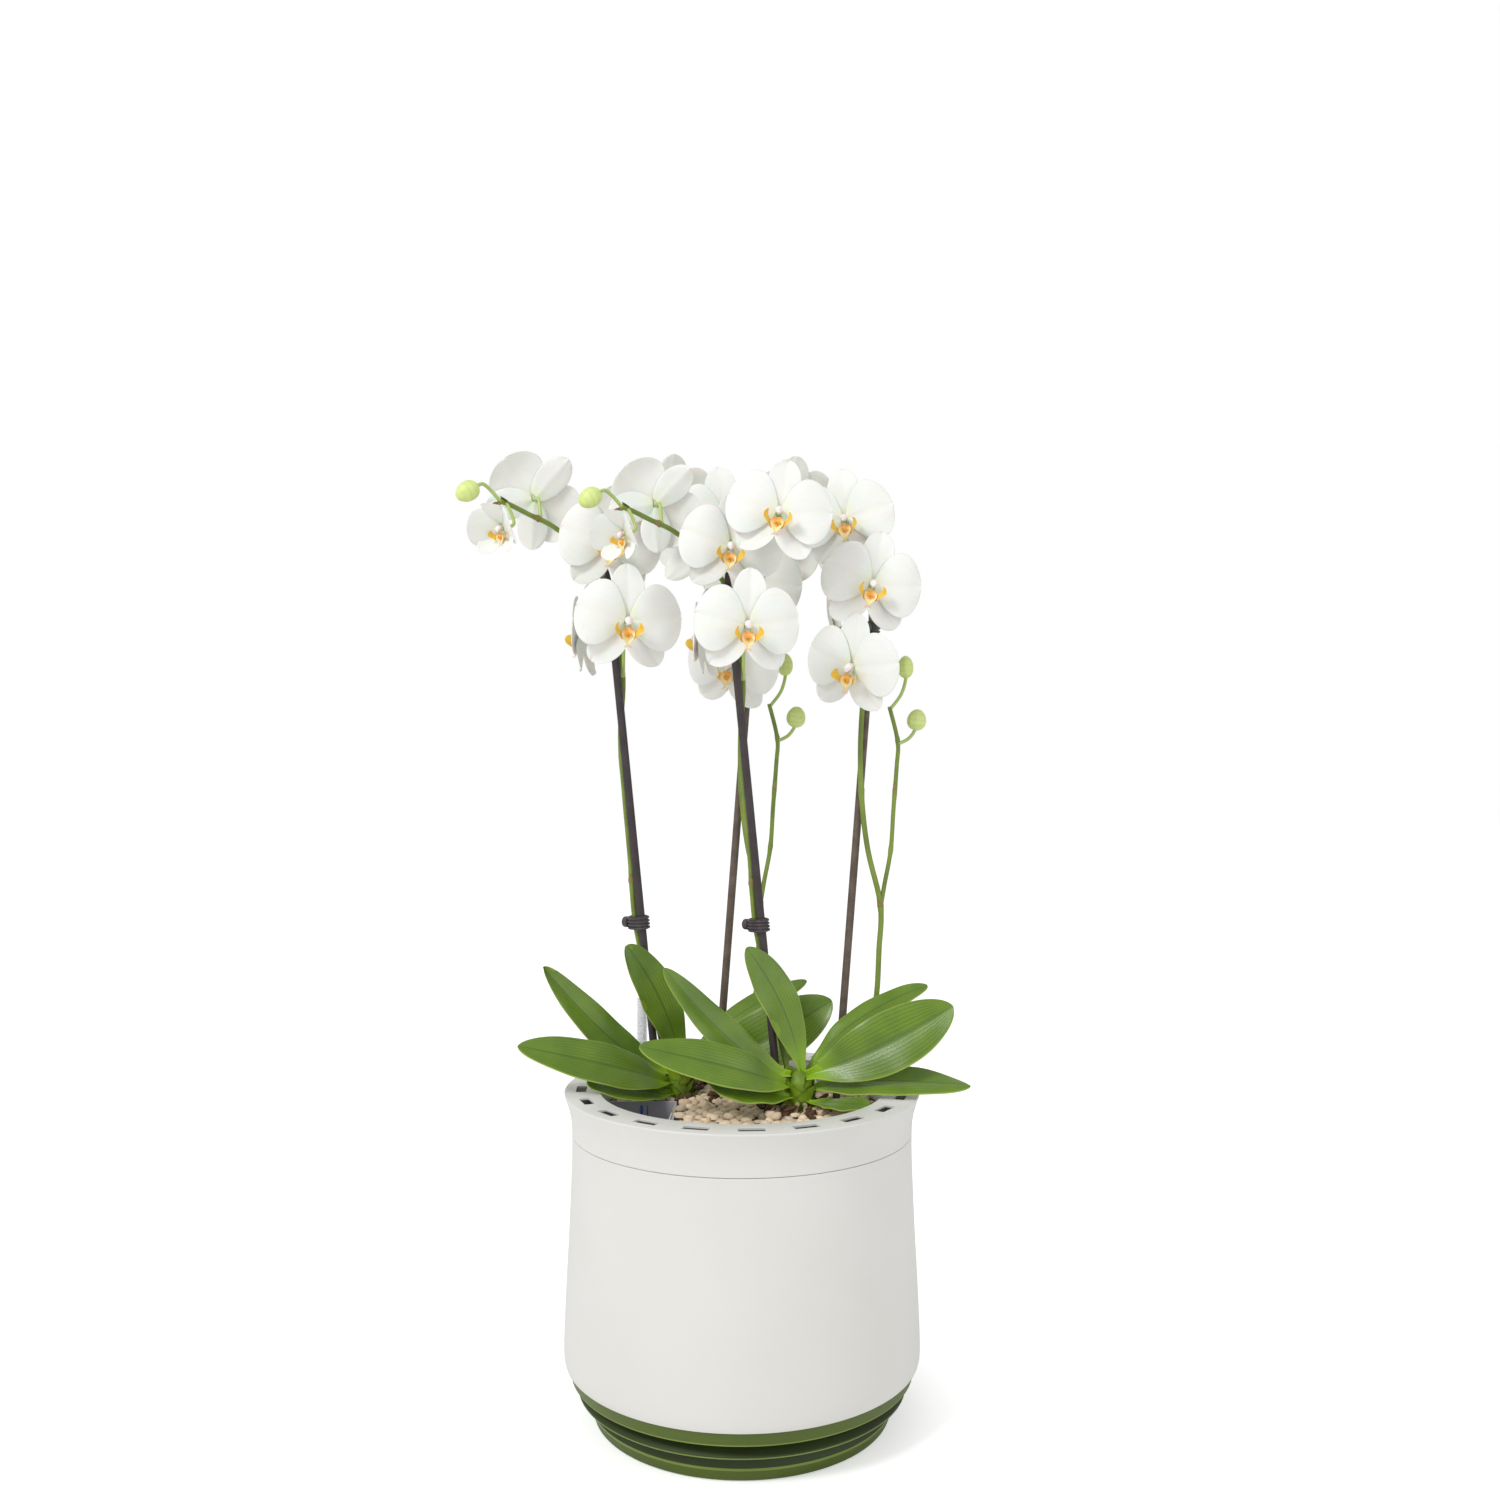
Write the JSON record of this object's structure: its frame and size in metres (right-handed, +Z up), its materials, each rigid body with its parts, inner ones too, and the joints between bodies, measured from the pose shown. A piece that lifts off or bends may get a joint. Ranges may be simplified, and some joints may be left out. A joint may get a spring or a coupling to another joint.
{
  "type": "potted moth orchid",
  "caption": "Two white moth orchids on staked, arching flower spikes in a white self-watering planter with a slotted rim and a louvred green base.",
  "frame": {"origin": "middle of the flat underside of the pot's base, on the surface it stands on", "axes": "+Z up along the pot's axis, the pot's front faces -Y, +X to its right"},
  "size_m": [0.3644, 0.2604, 0.71],
  "materials": {
    "white_plastic": "satin moulded",
    "green_plastic": "satin moulded",
    "grey_plastic": "satin moulded, faintly lilac",
    "black_plastic": "matt moulded",
    "clear_plastic": "clear, smooth",
    "granules": "dry, porous grains with bits of bark",
    "leaf": "waxy, satin",
    "crown": "waxy, satin",
    "petal": "soft, velvety",
    "stem": "smooth, waxy",
    "stake": "satin, lightly ribbed",
    "clip": "satin moulded"
  },
  "bodies": {
    "root": {"front_clip_left": "clip", "front_clip_right": "clip", "front_crown": "crown", "front_flower_01": "petal", "front_flower_02": "petal", "front_flower_03": "petal", "front_flower_04": "petal", "front_flower_05": "petal", "front_flower_06": "petal", "front_flower_07": "petal", "front_flower_08": "petal", "front_flower_09": "petal", "front_flower_10": "petal", "front_flower_11": "petal", "front_flower_12": "petal", "front_leaf_broad_right": "leaf", "front_leaf_high_left": "leaf", "front_leaf_high_right": "leaf", "front_leaf_low_left": "leaf", "front_leaf_low_right": "leaf", "front_leaf_under_left": "leaf", "front_leaf_under_right": "leaf", "front_leaf_upright": "leaf", "front_spike_left": "stem", "front_spike_right": "stem", "front_stake_left": "stake", "front_stake_right": "stake", "inner_planter": "grey_plastic", "louvred_base": "green_plastic", "outer_shell": "white_plastic", "rear_clip_left": "clip", "rear_clip_right": "clip", "rear_crown": "crown", "rear_flower_01": "petal", "rear_flower_02": "petal", "rear_flower_03": "petal", "rear_flower_04": "petal", "rear_flower_05": "petal", "rear_flower_06": "petal", "rear_flower_07": "petal", "rear_flower_08": "petal", "rear_flower_10": "petal", "rear_flower_11": "petal", "rear_flower_12": "petal", "rear_leaf_broad_right": "leaf", "rear_leaf_high_left": "leaf", "rear_leaf_high_right": "leaf", "rear_leaf_low_left": "leaf", "rear_leaf_under_left": "leaf", "rear_leaf_upright": "leaf", "rear_spike_left": "stem", "rear_spike_right": "stem", "rear_stake_left": "stake", "rear_stake_right": "stake", "rim_collar": "white_plastic", "substrate_bed": "granules", "water_gauge": "clear_plastic", "water_reservoir": "black_plastic", "watering_shaft": "grey_plastic"}
  },
  "joints": []
}
